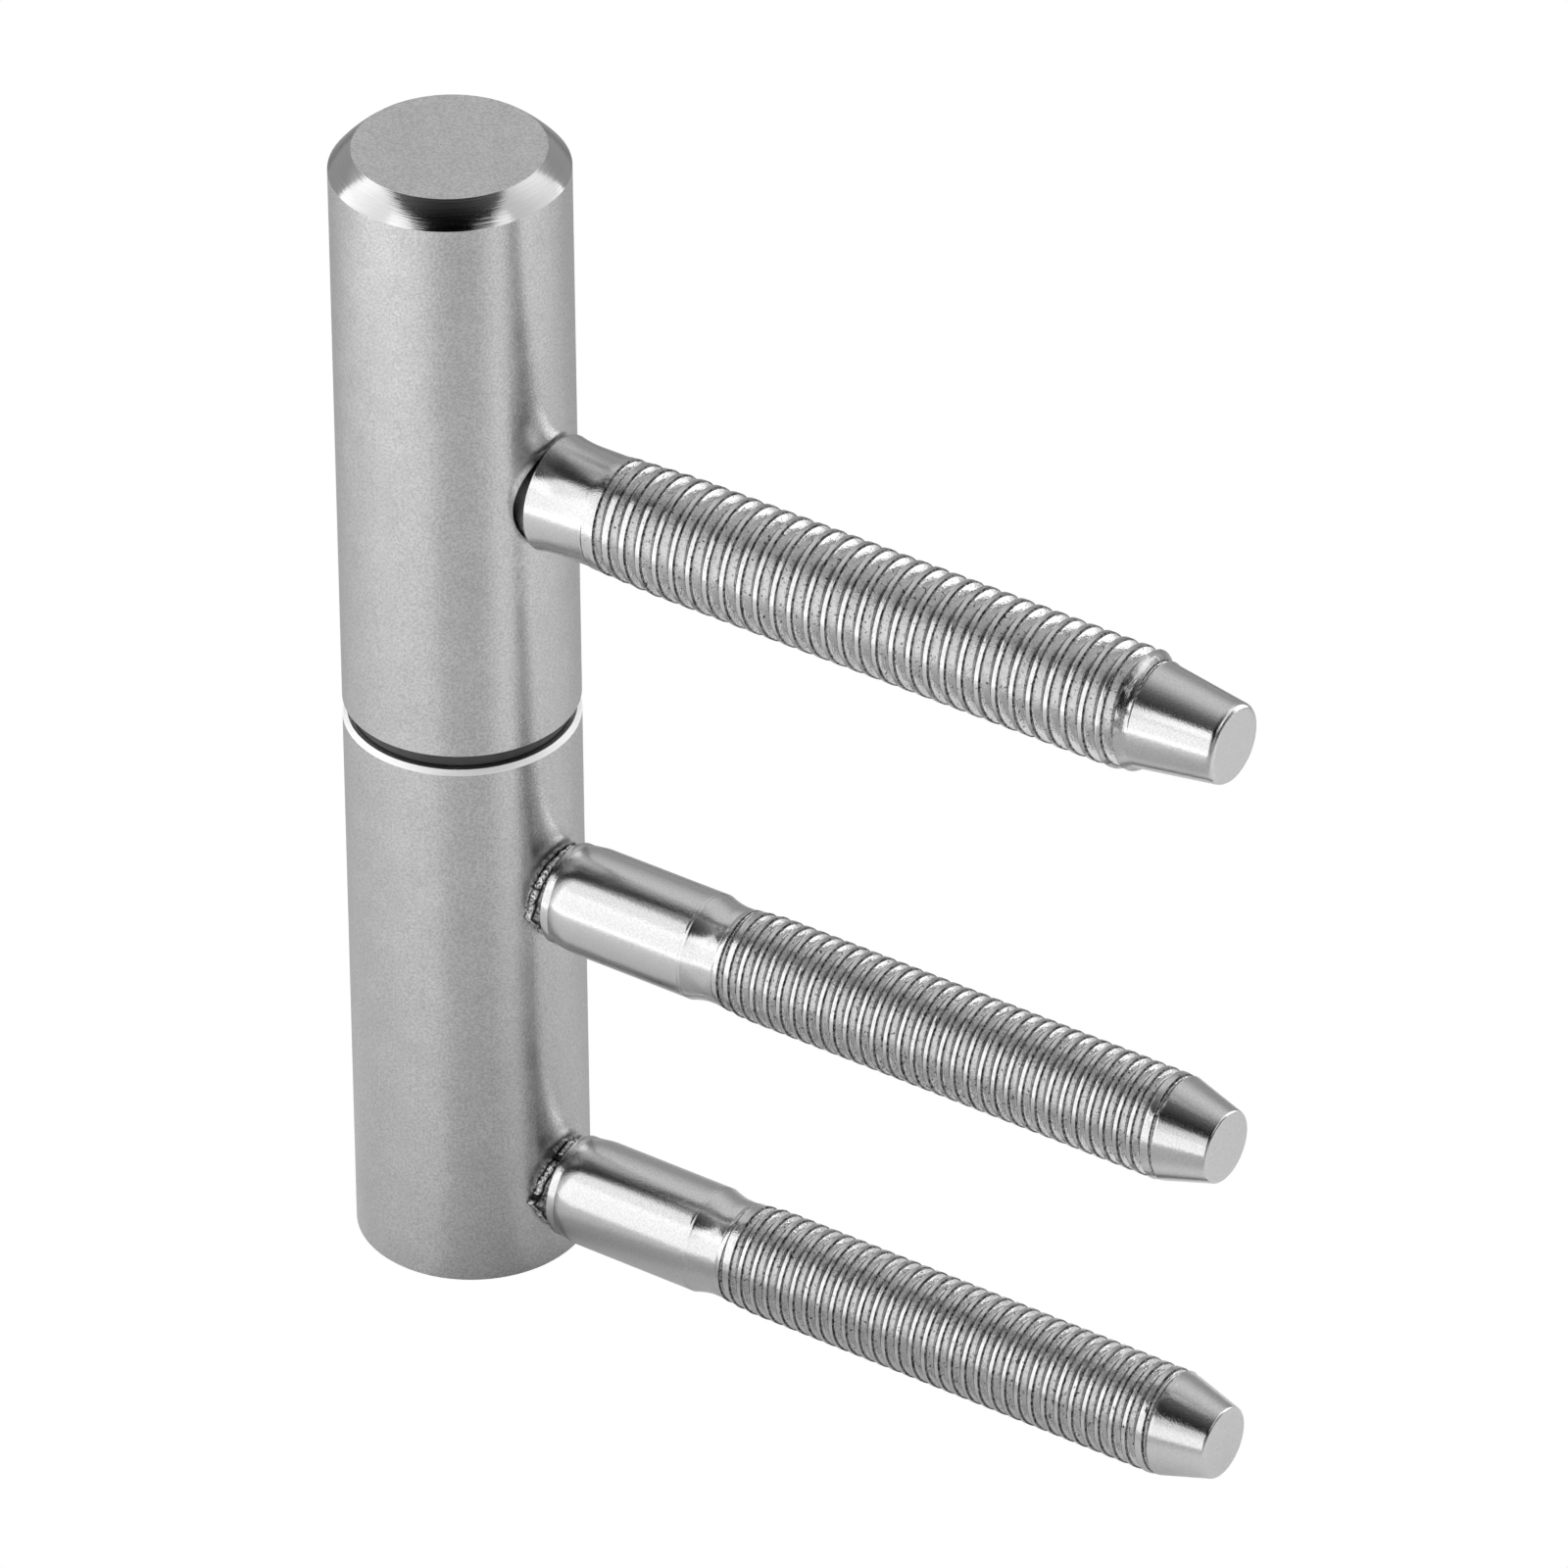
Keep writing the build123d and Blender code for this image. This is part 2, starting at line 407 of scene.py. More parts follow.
BEAD_COLUMNS = 300
BEAD_ROWS = 18
BEAD_RIDGE_ROWS = 13
BEAD_RADIUS = 3.06
BEAD_RIDGE = 0.50
BEAD_CROWN = 0.16
BEAD_FURROW = 0.22
BEAD_FURROW_ROOM = 0.10
BEAD_FURROW_SHADE_AND_DIRT = 0.6
BEAD_DARK_NOTCH = 0.15
BEAD_TO_LAND = 0.05
BEAD_TO_BARREL = 0.06
BEAD_SINK = 0.25
BEAD_LUMPS = 0.14
BEAD_DRIFT = 0.04
BEAD_OVERRUN = 0.03
MIDDLE_BEAD_CORNERS = ((190, 14, 0.30), (112, 50, 0.16))
MIDDLE_BEAD_NOTCHES = ((150, 6, 0.12), (232, 8, 0.18))
LOWER_BEAD_CORNERS = ((178, 16, 0.42), (150, 12, 0.10), (92, 28, 0.18))
LOWER_BEAD_NOTCHES = ((116, 6, 0.34), (171, 5, 0.30), (225, 10, 0.20))
MIDDLE_BEAD_SEED = 5
LOWER_BEAD_SEED = 11


def thread_depth(pitch, crest_flat):
    """Depth at which the flanks, the crest's flat and the root fill one pitch."""
    return (pitch - crest_flat - ROOT_FLAT) / 2 / tan(FLANK_ANGLE)


def cut_thread(
    arm, pitch, crest_flat, mark, seed, start, full_start, foot, cone_start, cone_radius, fall_length
):
    """Thread whose crest grows from the foot's radius to the arm's limit and falls to the cone's radius.

    Its root keeps one radius meanwhile, so the lands are wider where the crest is low.
    """
    rise = ramp_between(start, full_start, foot, arm.limit)
    fall = blend_between(cone_start - fall_length, cone_start, 0.0, arm.limit - cone_radius)
    full = thread_depth(pitch, crest_flat)
    deepen = blend_between(start, start + RUN_IN_TURNS * pitch, 0.0, full)
    fade = blend_between(cone_start - FADE_BEFORE_CONE, cone_start + FADE_PAST_CONE, 0.0, full)
    thread(
        arm,
        pitch,
        mark,
        start,
        cone_start,
        lambda station: rise(station) - fall(station),
        lambda station: deepen(station) - fade(station) - (arm.limit - rise(station)),
        rough_edges(seed),
    )


def flare(start, start_radius, end, end_radius, steps):
    """Concave arc from the flare's rim to the shank, which it meets without a corner."""
    rise = start_radius - end_radius
    run = end - start
    bend = (run * run + rise * rise) / (2 * rise)
    outline = []
    for step in range(steps + 1):
        station = start + run * step / steps
        radius = end_radius + bend - sqrt(bend * bend - (end - station) ** 2)
        outline.append((station, radius))
    return outline


def tip_outline(cone_start, cone_radius, tip, tip_radius, rounding):
    """Cone at the arm's end, its rounded rim and the flat end face."""
    corners = [
        (cone_start, cone_radius, 0),
        (tip, tip_radius, rounding),
        (tip, 0, 0),
    ]
    outline = rounded(corners)
    head = [(cone_start + CONE_STEP, cone_radius - CONE_DROP)]
    return outline[:1] + head + outline[1:]


def build_upper_arm(material):
    """The leaf part's arm. Its flare stands clear of the barrel's curved side."""
    low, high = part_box("upper_arm")
    root = low.x / MM
    tip = high.x / MM
    mount = mounts["upper_arm_thread"]
    arm = ArmMesh(mount["pos_m"][2] / MM, mount["dims"]["r_mm"])
    flare_end = LEAF_FLARE_START + LEAF_FLARE_LENGTH
    curve = flare(LEAF_FLARE_START, LEAF_FLARE_RADIUS, flare_end, LEAF_SHANK, LEAF_FLARE_STEPS)
    rim = LEAF_FLARE_RIM
    # Spigot, the flare's rim and curve, and a low step just before the thread
    arm.turned(
        [
            (root, 0),
            (root, LEAF_SPIGOT),
            (LEAF_FLARE_START, LEAF_SPIGOT),
            (LEAF_FLARE_START, LEAF_FLARE_RADIUS - rim),
            (LEAF_FLARE_START + 0.3 * rim, LEAF_FLARE_RADIUS - 0.3 * rim),
            (LEAF_FLARE_START + rim, curve[0][1] - 0.2 * rim),
        ]
        + curve[1:]
        + [
            (LEAF_THREAD_START - 0.30, LEAF_SHANK),
            (LEAF_THREAD_START - 0.24, LEAF_SHANK + 0.02),
            (LEAF_THREAD_START - 0.10, LEAF_SHANK + 0.03),
            (LEAF_THREAD_START, LEAF_THREAD_FOOT),
        ]
    )
    cone_start = tip - LEAF_CONE_LENGTH
    cut_thread(
        arm,
        LEAF_PITCH,
        LEAF_CREST_FLAT,
        LEAF_MARK,
        LEAF_SEED,
        LEAF_THREAD_START,
        LEAF_THREAD_FULL,
        LEAF_THREAD_FOOT,
        cone_start,
        LEAF_CONE_RADIUS,
        LEAF_FALL_LENGTH,
    )
    arm.turned(tip_outline(cone_start, LEAF_CONE_RADIUS, tip, LEAF_TIP_RADIUS, LEAF_TIP_ROUNDING))
    arm.close()
    piece = finish_mesh("upper_threaded_arm", arm.bm, material, "leaf_part")
    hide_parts("upper_arm")


def hair_line(station, radius, width=0.035, depth=0.012):
    """A fine turned line in an outline."""
    return [
        (station - width, radius),
        (station, radius - depth),
        (station + width, radius),
    ]


def build_frame_arm(node, name, mark, seed, material):
    """One of the frame part's arms, with hair lines at the start and end of its neck."""
    low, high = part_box(node)
    root = low.x / MM
    tip = high.x / MM
    mount = mounts[node + "_thread"]
    arm = ArmMesh(mount["pos_m"][2] / MM, mount["dims"]["r_mm"])
    land_end = FRAME_LAND_START + FRAME_LAND_LENGTH
    shank_start = land_end + FRAME_CONE_IN_LENGTH
    # Spigot, land with a fine line at its end, lead-in cone and shank
    corners = [
        (root, 0, 0),
        (root, FRAME_SPIGOT, 0),
        (FRAME_LAND_START, FRAME_SPIGOT, 0),
        (FRAME_LAND_START, FRAME_LAND_RADIUS, FRAME_LAND_ROUNDING),
        (land_end - 0.05, FRAME_LAND_RADIUS, 0),
        (land_end, FRAME_LAND_RADIUS - 0.02, 0),
        (land_end + 0.05, FRAME_LAND_RADIUS + 0.01, 0),
        (shank_start, FRAME_SHANK, FRAME_SHANK_ROUNDING),
        (FRAME_NECK_START - 0.2, FRAME_SHANK, 0),
    ]
    neck = hair_line(FRAME_NECK_START, FRAME_SHANK, width=0.05, depth=0.03)
    for step in range(1, NECK_STEPS + 1):
        t = step / NECK_STEPS
        station = FRAME_NECK_START + FRAME_NECK_LENGTH * t
        neck.append((station, FRAME_NECK + (FRAME_SHANK - FRAME_NECK) * (1 - sin(pi / 2 * t))))
    neck += hair_line(FRAME_NECK_LINE, FRAME_NECK)
    arm.turned(rounded(corners) + neck + [(FRAME_THREAD_START, FRAME_THREAD_FOOT)])
    cone_start = tip - FRAME_CONE_LENGTH
    cut_thread(
        arm,
        FRAME_PITCH,
        FRAME_CREST_FLAT,
        mark,
        seed,
        FRAME_THREAD_START,
        FRAME_THREAD_FULL,
        FRAME_THREAD_FOOT,
        cone_start,
        FRAME_CONE_RADIUS,
        FRAME_FALL_LENGTH,
    )
    arm.turned(tip_outline(cone_start, FRAME_CONE_RADIUS, tip, FRAME_TIP_RADIUS, FRAME_TIP_ROUNDING))
    arm.close()
    piece = finish_mesh(name, arm.bm, material, "frame_part")
    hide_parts(node)


def peaks(turn, places):
    """Sum of pointed bumps round an arm, at an angle in degrees."""
    total = 0.0
    for angle, half, height in places:
        away = abs((turn - angle + 180) % 360 - 180)
        total += height * max(0.0, 1 - away / half)
    return total


def build_weld_bead(node, name, seed, corners, notches, material):
    """Granular weld metal round an arm's root, between the barrel's curved side and the arm's first land.

    A ridge lies along the barrel, with a furrow between it and the land where there is room for one. Painted
    shade and dirt darken the ridge's edges, where it meets the barrel and the furrow, the furrow itself and
    the notches.
    It stands out at the corners and is broken at the notches. Angles are measured round the arm from +Y
    through the top.
    """
    height = mounts[node + "_thread"]["pos_m"][2] / MM
    bm = bmesh.new()
    wear = bm.verts.layers.float.new("wear")
    shift = Vector((seed, 2 * seed, 0))
    end = FRAME_LAND_START - BEAD_TO_LAND
    grid = []
    for column in range(BEAD_COLUMNS):
        turn = 2 * pi * column / BEAD_COLUMNS
        across = cos(turn)
        up = sin(turn)
        corner = peaks(360 * column / BEAD_COLUMNS, corners)
        notch = peaks(360 * column / BEAD_COLUMNS, notches)
        outer = BEAD_RADIUS + corner
        start = sqrt(barrel_radius ** 2 - (outer * across) ** 2) + BEAD_TO_BARREL
        ridge_end = start + min(end - start - BEAD_FURROW_ROOM, BEAD_RIDGE)
        lump = noise.noise(Vector((0.0, across, up)) * 4.5 + shift) * BEAD_LUMPS
        line = []
        for row in range(BEAD_ROWS + 1):
            t = row / BEAD_RIDGE_ROWS
            if t <= 1:
                station = start + (ridge_end - start) * t
                crown = outer - BEAD_CROWN * (2 * t - 1) ** 4 - notch
                shade_and_soil = max(abs(2 * t - 1) ** 6, min(notch / BEAD_DARK_NOTCH, 1.0))
            else:
                past = row - BEAD_RIDGE_ROWS
                station = ridge_end + (end - ridge_end) * past / (BEAD_ROWS - BEAD_RIDGE_ROWS)
                crown = outer - BEAD_FURROW - notch
                shade_and_soil = BEAD_FURROW_SHADE_AND_DIRT
            place = Vector((station, outer * across, outer * up))
            grain = noise.noise(place * 3.4 + shift) * 0.07 + noise.noise(place * 8.0 + shift) * 0.05
            drift = noise.noise(place * 2.6 - shift) * BEAD_DRIFT
            radius = crown + grain + lump
            station = min(station + drift, end + BEAD_OVERRUN)
            vert = bm.verts.new((station * MM, radius * across * MM, (height + radius * up) * MM))
            vert[wear] = shade_and_soil
            line.append(vert)
        for station in (end, start - BEAD_SINK):
            vert = bm.verts.new((station * MM, FRAME_SPIGOT * across * MM, (height + FRAME_SPIGOT * up) * MM))
            vert[wear] = 1.0
            line.append(vert)
        grid.append(line)
    for column in range(BEAD_COLUMNS):
        here = grid[column]
        ahead = grid[(column + 1) % BEAD_COLUMNS]
        count = len(here)
        for row in range(count):
            after = (row + 1) % count
            bm.faces.new((here[row], ahead[row], ahead[after], here[after]))
    finish_mesh(name, bm, material, "frame_part")


# Materials. The greys are the plating's reflectance, on the satin barrels and on the bright arms. Most of a
# noise lies between the two noise values. The colours of the chamfers end just under the top faces.

SATIN = 0.62
BRIGHT = 0.55
NOISE_LOW = 0.3
NOISE_HIGH = 0.7
CHAMFER_MARGIN = 0.01


class Shader:
    """A node material on a Principled shader, with short calls for its usual steps."""

    def __init__(self, name, color, metallic, roughness):
        self.material = bpy.data.materials.new(name)
        self.material.use_nodes = True
        self.nodes = self.material.node_tree.nodes
        self.links = self.material.node_tree.links
        self.base = self.nodes["Principled BSDF"]
        self.base.inputs["Metallic"].default_value = metallic
        self.base.inputs["Roughness"].default_value = roughness
        self.base.inputs["Base Color"].default_value = (*color, 1)
        self.place = self.nodes.new("ShaderNodeTexCoord").outputs["Object"]

    def noise(self, size, detail=2.0, stretch=(1, 1, 1), offset=0.0):
        """Noise with features of about this size in millimetres, drawn out along the axes by stretch."""
        mapping = self.nodes.new("ShaderNodeMapping")
        scale = [1 / (size * MM * factor) for factor in stretch]
        mapping.inputs["Scale"].default_value = scale
        mapping.inputs["Location"].default_value = (offset, offset, offset)
        self.links.new(self.place, mapping.inputs["Vector"])
        texture = self.nodes.new("ShaderNodeTexNoise")
        texture.inputs["Scale"].default_value = 1.0
        texture.inputs["Detail"].default_value = detail
        self.links.new(mapping.outputs["Vector"], texture.inputs["Vector"])
        return texture.outputs["Fac"]

    def attribute(self, name):
        """Value that the mesh carries at each vertex."""
        node = self.nodes.new("ShaderNodeAttribute")
        node.attribute_name = name
        return node.outputs["Fac"]

    def ranged(self, value, low, high, to_low, to_high):
        """Value scaled from one range to another, and kept inside it."""
        node = self.nodes.new("ShaderNodeMapRange")
        node.inputs["From Min"].default_value = low
        node.inputs["From Max"].default_value = high
        node.inputs["To Min"].default_value = to_low
        node.inputs["To Max"].default_value = to_high
        self.links.new(value, node.inputs["Value"])
        return node.outputs["Result"]

    def spread(self, texture, to_low=0.0, to_high=1.0):
        """Noise scaled from the range where most of it lies."""
        return self.ranged(texture, NOISE_LOW, NOISE_HIGH, to_low, to_high)

    def math(self, operation, first, second):
        """Sum, product or the like of two values, each a number or a socket."""
        node = self.nodes.new("ShaderNodeMath")
        node.operation = operation
        for socket, value in zip(node.inputs, (first, second)):
            if isinstance(value, (int, float)):
                socket.default_value = value
            else:
                self.links.new(value, socket)
        return node.outputs["Value"]

    def height(self):
        """Height in millimetres."""
        split = self.nodes.new("ShaderNodeSeparateXYZ")
        self.links.new(self.place, split.inputs["Vector"])
        return self.math("DIVIDE", split.outputs["Z"], MM)

    def band(self, value, low, high):
        """1 between two limits and 0 elsewhere."""
        above = self.math("GREATER_THAN", value, low)
        below = self.math("LESS_THAN", value, high)
        return self.math("MULTIPLY", above, below)

    def either(self, factor, off, on):
        """The value off where the factor is 0, and the value on where it is 1."""
        node = self.nodes.new("ShaderNodeMix")
        self.links.new(factor, node.inputs[0])
        self.links.new(off, node.inputs[2])
        self.links.new(on, node.inputs[3])
        return node.outputs[0]

    def blend(self, factor, first, second):
        """Colour between two colours, each given as numbers or as another blend."""
        node = self.nodes.new("ShaderNodeMix")
        node.data_type = "RGBA"
        self.links.new(factor, node.inputs[0])
        for socket, color in ((node.inputs[6], first), (node.inputs[7], second)):
            if isinstance(color, tuple):
                socket.default_value = (*color, 1)
            else:
                self.links.new(color, socket)
        return node.outputs[2]

    def tint(self, factor, first, second):
        """Base colour between two colours."""
        self.tint_with(self.blend(factor, first, second))

    def tint_with(self, color):
        self.links.new(color, self.base.inputs["Base Color"])

    def rough(self, value):
        self.links.new(value, self.base.inputs["Roughness"])

    def metal(self, value):
        self.links.new(value, self.base.inputs["Metallic"])

    def towards(self, direction):
        """Cosine of the level angle between a direction and the way from the hinge axis to the surface."""
        flat = self.nodes.new("ShaderNodeVectorMath")
        flat.operation = "MULTIPLY"
        flat.inputs[1].default_value = (1, 1, 0)
        self.links.new(self.place, flat.inputs[0])
        unit = self.nodes.new("ShaderNodeVectorMath")
        unit.operation = "NORMALIZE"
        self.links.new(flat.outputs["Vector"], unit.inputs[0])
        node = self.nodes.new("ShaderNodeVectorMath")
        node.operation = "DOT_PRODUCT"
        node.inputs[1].default_value = direction
        self.links.new(unit.outputs["Vector"], node.inputs[0])
        return node.outputs["Value"]

    def bump(self, height, depth):
        """Bump whose full height is depth, in millimetres."""
        node = self.nodes.new("ShaderNodeBump")
        node.inputs["Strength"].default_value = 1.0
        node.inputs["Distance"].default_value = depth * MM
        self.links.new(height, node.inputs["Height"])
        self.links.new(node.outputs["Normal"], self.base.inputs["Normal"])


def grey(value):
    """Neutral colour."""
    return (value, value, value)


def barrel_material(name, top, chamfer, chamfer_grey, chamfer_rough, chamfer_metal):
    """Satin plating with a fine even grain, faint clouds and dark specks.

    The chamfer under the barrel's top has its own grey, roughness and share of metal, with fine rings from
    the turning.
    """
    shader = Shader(name, grey(SATIN), metallic=1.0, roughness=0.25)
    grain = shader.noise(0.15, 2.0)
    clouds = shader.noise(2.2, 3.0, offset=3.0)
    specks = shader.noise(0.15, 2.0, offset=9.0)
    rings = shader.noise(0.06, 2.0, stretch=(40, 40, 1), offset=1.0)
    on_chamfer = shader.band(shader.height(), top - chamfer, top - CHAMFER_MARGIN)
    cloudy = shader.blend(shader.spread(clouds), grey(SATIN * 0.96), grey(SATIN * 1.04))
    satin = shader.blend(shader.ranged(specks, 0.38, 0.64, 0.0, 0.46), cloudy, grey(SATIN * 0.5))
    turned = shader.blend(shader.spread(rings), grey(chamfer_grey * 0.92), grey(chamfer_grey))
    shader.tint(on_chamfer, satin, turned)
    shader.metal(shader.ranged(on_chamfer, 0.0, 1.0, 1.0, chamfer_metal))
    dull = shader.spread(clouds, 0.23, 0.28)
    bright = shader.spread(rings, chamfer_rough * 0.8, chamfer_rough * 1.2)
    shader.rough(shader.either(on_chamfer, dull, bright))
    shader.bump(shader.either(on_chamfer, grain, rings), 0.007)
    return shader.material


def arm_material():
    """Bright plating with a fine grain, and rolled streaks on the thread.

    The edges of the thread's crests are rough and carry near-black specks of dirt and painted shade, and the
    crest edges, the band below them and the roots are darkened with painted shade.
    """
    shader = Shader("bright_plating", grey(BRIGHT), metallic=1.0, roughness=0.2)
    grain = shader.noise(0.12, 2.0)
    streaks = shader.noise(0.07, 2.0, stretch=(1, 10, 10), offset=5.0)
    specks = shader.noise(0.2, 3.0, offset=2.0)
    spots = shader.noise(0.12, 2.0, offset=7.0)
    wear = shader.attribute("wear")
    threaded = shader.ranged(wear, 0.01, CREST_WEAR, 0.0, 1.0)
    # Near-black specks of painted shade and dirt, thickest along the crest edges and in the roots
    thin = shader.math("SUBTRACT", specks, shader.math("MULTIPLY", wear, 0.22))
    shade_and_dirt = shader.math("MULTIPLY", shader.ranged(thin, 0.27, 0.32, 1.0, 0.0), threaded)
    plain = shader.blend(shader.ranged(spots, 0.36, 0.64, 0.0, 1.0), grey(BRIGHT * 0.93), grey(BRIGHT * 1.07))
    flank = shader.blend(shader.ranged(wear, CREST_WEAR, FLANK_WEAR, 0.0, 1.0), plain, grey(BRIGHT * 1.2))
    # Painted shade: the roots, the crest edges and the band below them turn to half the plating's grey
    root = shader.ranged(wear, FLANK_WEAR + 0.03, ROOT_WEAR_AND_SHADE, 0.0, 1.0)
    shader.tint(shade_and_dirt, shader.blend(root, flank, grey(BRIGHT * 0.5)), grey(0.04))
    dull = shader.ranged(wear, ROOT_WEAR_AND_SHADE, 1.0, 0.0, 0.22)
    shader.rough(shader.math("ADD", shader.spread(spots, 0.15, 0.21), dull))
    coarse = shader.math("MULTIPLY", grain, shader.ranged(wear, 0.0, 1.0, 0.05, 1.0))
    rolled = shader.math("MULTIPLY", streaks, shader.math("MULTIPLY", threaded, 0.07))
    shader.bump(shader.math("ADD", coarse, rolled), 0.11)
    return shader.material


def weld_material():
    """Weld metal: coarse grains with dark pits, and painted shade and dirt along the ridge's edges, in the
    furrow and in its notches.
    """
    shader = Shader("weld_metal", grey(0.45), metallic=1.0, roughness=0.3)
    grain = shader.noise(0.11, 3.0)
    pits = shader.noise(0.15, 2.0, offset=4.0)
    edge_shade_and_dirt = shader.ranged(shader.attribute("wear"), 0.3, 0.75, 0.0, 1.0)
    metal = shader.blend(shader.ranged(pits, 0.37, 0.50, 0.0, 1.0), grey(0.06), grey(0.64))
    # Painted shade and dirt: near-black at the ridge's edges, in the furrow and in the notches
    shader.tint(edge_shade_and_dirt, metal, grey(0.03))
    shader.rough(shader.spread(grain, 0.2, 0.4))
    shader.bump(grain, 0.06)
    return shader.material


def pin_material():
    """Ground steel with fine rings from the grinding."""
    shader = Shader("ground_steel", grey(0.52), metallic=1.0, roughness=0.2)
    rings = shader.noise(0.05, 2.0, stretch=(30, 30, 1))
    shader.tint(shader.spread(rings), grey(0.48), grey(0.56))
    shader.rough(shader.spread(rings, 0.16, 0.28))
    shader.bump(rings, 0.002)
    return shader.material


def bush_material():
    """Pale moulded bearing plastic, faintly mottled."""
    shader = Shader("bush_plastic", (0.72, 0.70, 0.64), metallic=0.0, roughness=0.45)
    grain = shader.noise(0.15, 2.0)
    clouds = shader.noise(2.0, 2.0, offset=6.0)
    shader.tint(shader.spread(clouds), (0.68, 0.66, 0.60), (0.76, 0.74, 0.69))
    shader.rough(shader.spread(grain, 0.4, 0.55))
    shader.bump(grain, 0.004)
    return shader.material


def ring_material():
    """Dark grey bearing plastic with a dull fine grain."""
    shader = Shader("ring_plastic", grey(0.04), metallic=0.0, roughness=0.5)
    grain = shader.noise(0.10, 2.0)
    clouds = shader.noise(1.2, 2.0, offset=8.0)
    shader.tint(shader.spread(clouds), grey(0.032), grey(0.05))
    shader.rough(shader.spread(grain, 0.42, 0.6))
    shader.bump(grain, 0.006)
    return shader.material


def dress_nodes(materials):
    """Give every CAD node that stays its material, in the slots of its object."""
    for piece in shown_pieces():
        node = piece.get("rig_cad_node")
        if node in materials:
            for slot in piece.material_slots:
                slot.link = "OBJECT"
                slot.material = materials[node]


# Camera, at the photograph's angle

VIEW_AZIMUTH = radians(34.892)
VIEW_ELEVATION = radians(34.163)
VIEW_ROLL = radians(-0.543)
CAMERA_PLACE = Vector((0.4818, -0.6558, 0.5459))
SENSOR = 36.0
LENS = 360.0

right_of_view = Vector((cos(VIEW_AZIMUTH), sin(VIEW_AZIMUTH), 0))
away_from_view = Vector((-sin(VIEW_AZIMUTH), cos(VIEW_AZIMUTH), 0))
upwards = Vector((0, 0, 1))


def place_camera():
    """Camera with a long lens, turned a little about its own line of sight."""
    forward = away_from_view * cos(VIEW_ELEVATION) - upwards * sin(VIEW_ELEVATION)
    up = away_from_view * sin(VIEW_ELEVATION) + upwards * cos(VIEW_ELEVATION)
    side = right_of_view * cos(VIEW_ROLL) + up * sin(VIEW_ROLL)
    top = up * cos(VIEW_ROLL) - right_of_view * sin(VIEW_ROLL)
    data = bpy.data.cameras.new("camera")
    data.lens = LENS
    data.sensor_fit = "HORIZONTAL"
    data.sensor_width = SENSOR
    data.clip_start = 0.01
    data.clip_end = 50
    camera = bpy.data.objects.new("camera", data)
    axes = Matrix((side, top, -forward)).transposed().to_4x4()
    camera.matrix_world = Matrix.Translation(CAMERA_PLACE) @ axes
    bpy.context.scene.collection.objects.link(camera)
    bpy.context.scene.camera = camera


# Studio, in metres: tall softboxes on the left and right, a pair in front, a dim world, and a pale table.
# The photograph's background is plain white, which the glowing floor and backdrop show to the camera only.

LEFT_BEARING = -75
LEFT_DISTANCE = 0.168
LEFT_BOTTOM = -0.0385
LEFT_SEAM = 0.115
LEFT_TOP = 0.243
LEFT_SPAN = (0.14, 0.32)

RIGHT_BEARING = 92
RIGHT_DISTANCE = 0.21
RIGHT_BOTTOM = -0.030
RIGHT_SEAM = 0.100
RIGHT_TOP = 0.330
RIGHT_FAR_SIDE = 0.115

FRONT_BEARING = 42
FRONT_DISTANCE = 0.25
FRONT_BOTTOM = 0.150
FRONT_TOP = 0.292
FRONT_SPAN = (0.10, 0.08)

OVERHEAD_HEIGHT = 0.9
OVERHEAD_SIZE = 1.0

TABLE_DROP = 0.0002
TABLE_HALF = 0.8
FLOOR_DROP = 0.0004
FLOOR_HALF = 3.0
BACKDROP_RADIUS = 3.2

# Greys of the table, and of its zones of painted light and painted shadow: bearing of the middle, cosines at
# which it begins and is full, grey
TABLE_GREY = 0.68
TABLE_LIGHT_AND_SHADE_ZONES = (
    (-45, 0.4, 0.95, 0.81),
    (70, 0.6, 0.95, 0.86),
    (55, 0.9, 0.985, 0.97),
    (3, 0.87, 0.985, 0.60),
    (180, 0.5, 0.95, 0.50),
)


def bearing(degrees):
    """Level direction at this angle from the camera's side, positive to the right."""
    angle = radians(degrees)
    return right_of_view * sin(angle) - away_from_view * cos(angle)


def add_softbox(name, towards, distance, low, high, span, radiance, on_floor=True, in_metal=True):
    """Upright softbox between two heights, square to a bearing from the hinge axis.

    Its span is how far it reaches to the side away from the camera, and to the camera's side. It lights the
    table where on_floor is set, and shows in the metal where in_metal is set.
    """
    far_side, near_side = span
    tall = high - low
    wide = far_side + near_side
    # Level, across the softbox, to the camera's side
    nearer = bearing(0) - bearing(towards) * bearing(0).dot(bearing(towards))
    data = bpy.data.lights.new(name, "AREA")
    data.shape = "RECTANGLE"
    data.size = wide
    data.size_y = tall
    data.energy = radiance * pi * wide * tall
    light = bpy.data.objects.new(name, data)
    direction = bearing(towards)
    side = upwards.cross(direction)
    axes = Matrix((side, upwards, direction)).transposed().to_4x4()
    along = nearer.normalized() * (near_side - far_side) / 2
    place = direction * distance + along + upwards * (low + high) / 2
    light.matrix_world = Matrix.Translation(place) @ axes
    light.visible_camera = False
    light.visible_diffuse = on_floor
    light.visible_glossy = in_metal
    bpy.context.scene.collection.objects.link(light)


def add_overhead(name, height, size, radiance):
    """Level light over the floor that keeps it pale. Metal doesn't mirror it."""
    data = bpy.data.lights.new(name, "AREA")
    data.shape = "SQUARE"
    data.size = size
    data.energy = radiance * pi * size * size
    light = bpy.data.objects.new(name, data)
    light.location = (0, 0, height)
    light.visible_camera = False
    light.visible_glossy = False
    bpy.context.scene.collection.objects.link(light)


def glowing_material(name):
    """White that only glows, so no shadow shows on it."""
    shader = Shader(name, grey(0.0), metallic=0.0, roughness=0.9)
    shader.base.inputs["Specular IOR Level"].default_value = 0.0
    shader.base.inputs["Emission Color"].default_value = (1, 1, 1, 1)
    shader.base.inputs["Emission Strength"].default_value = 1.0
    return shader.material


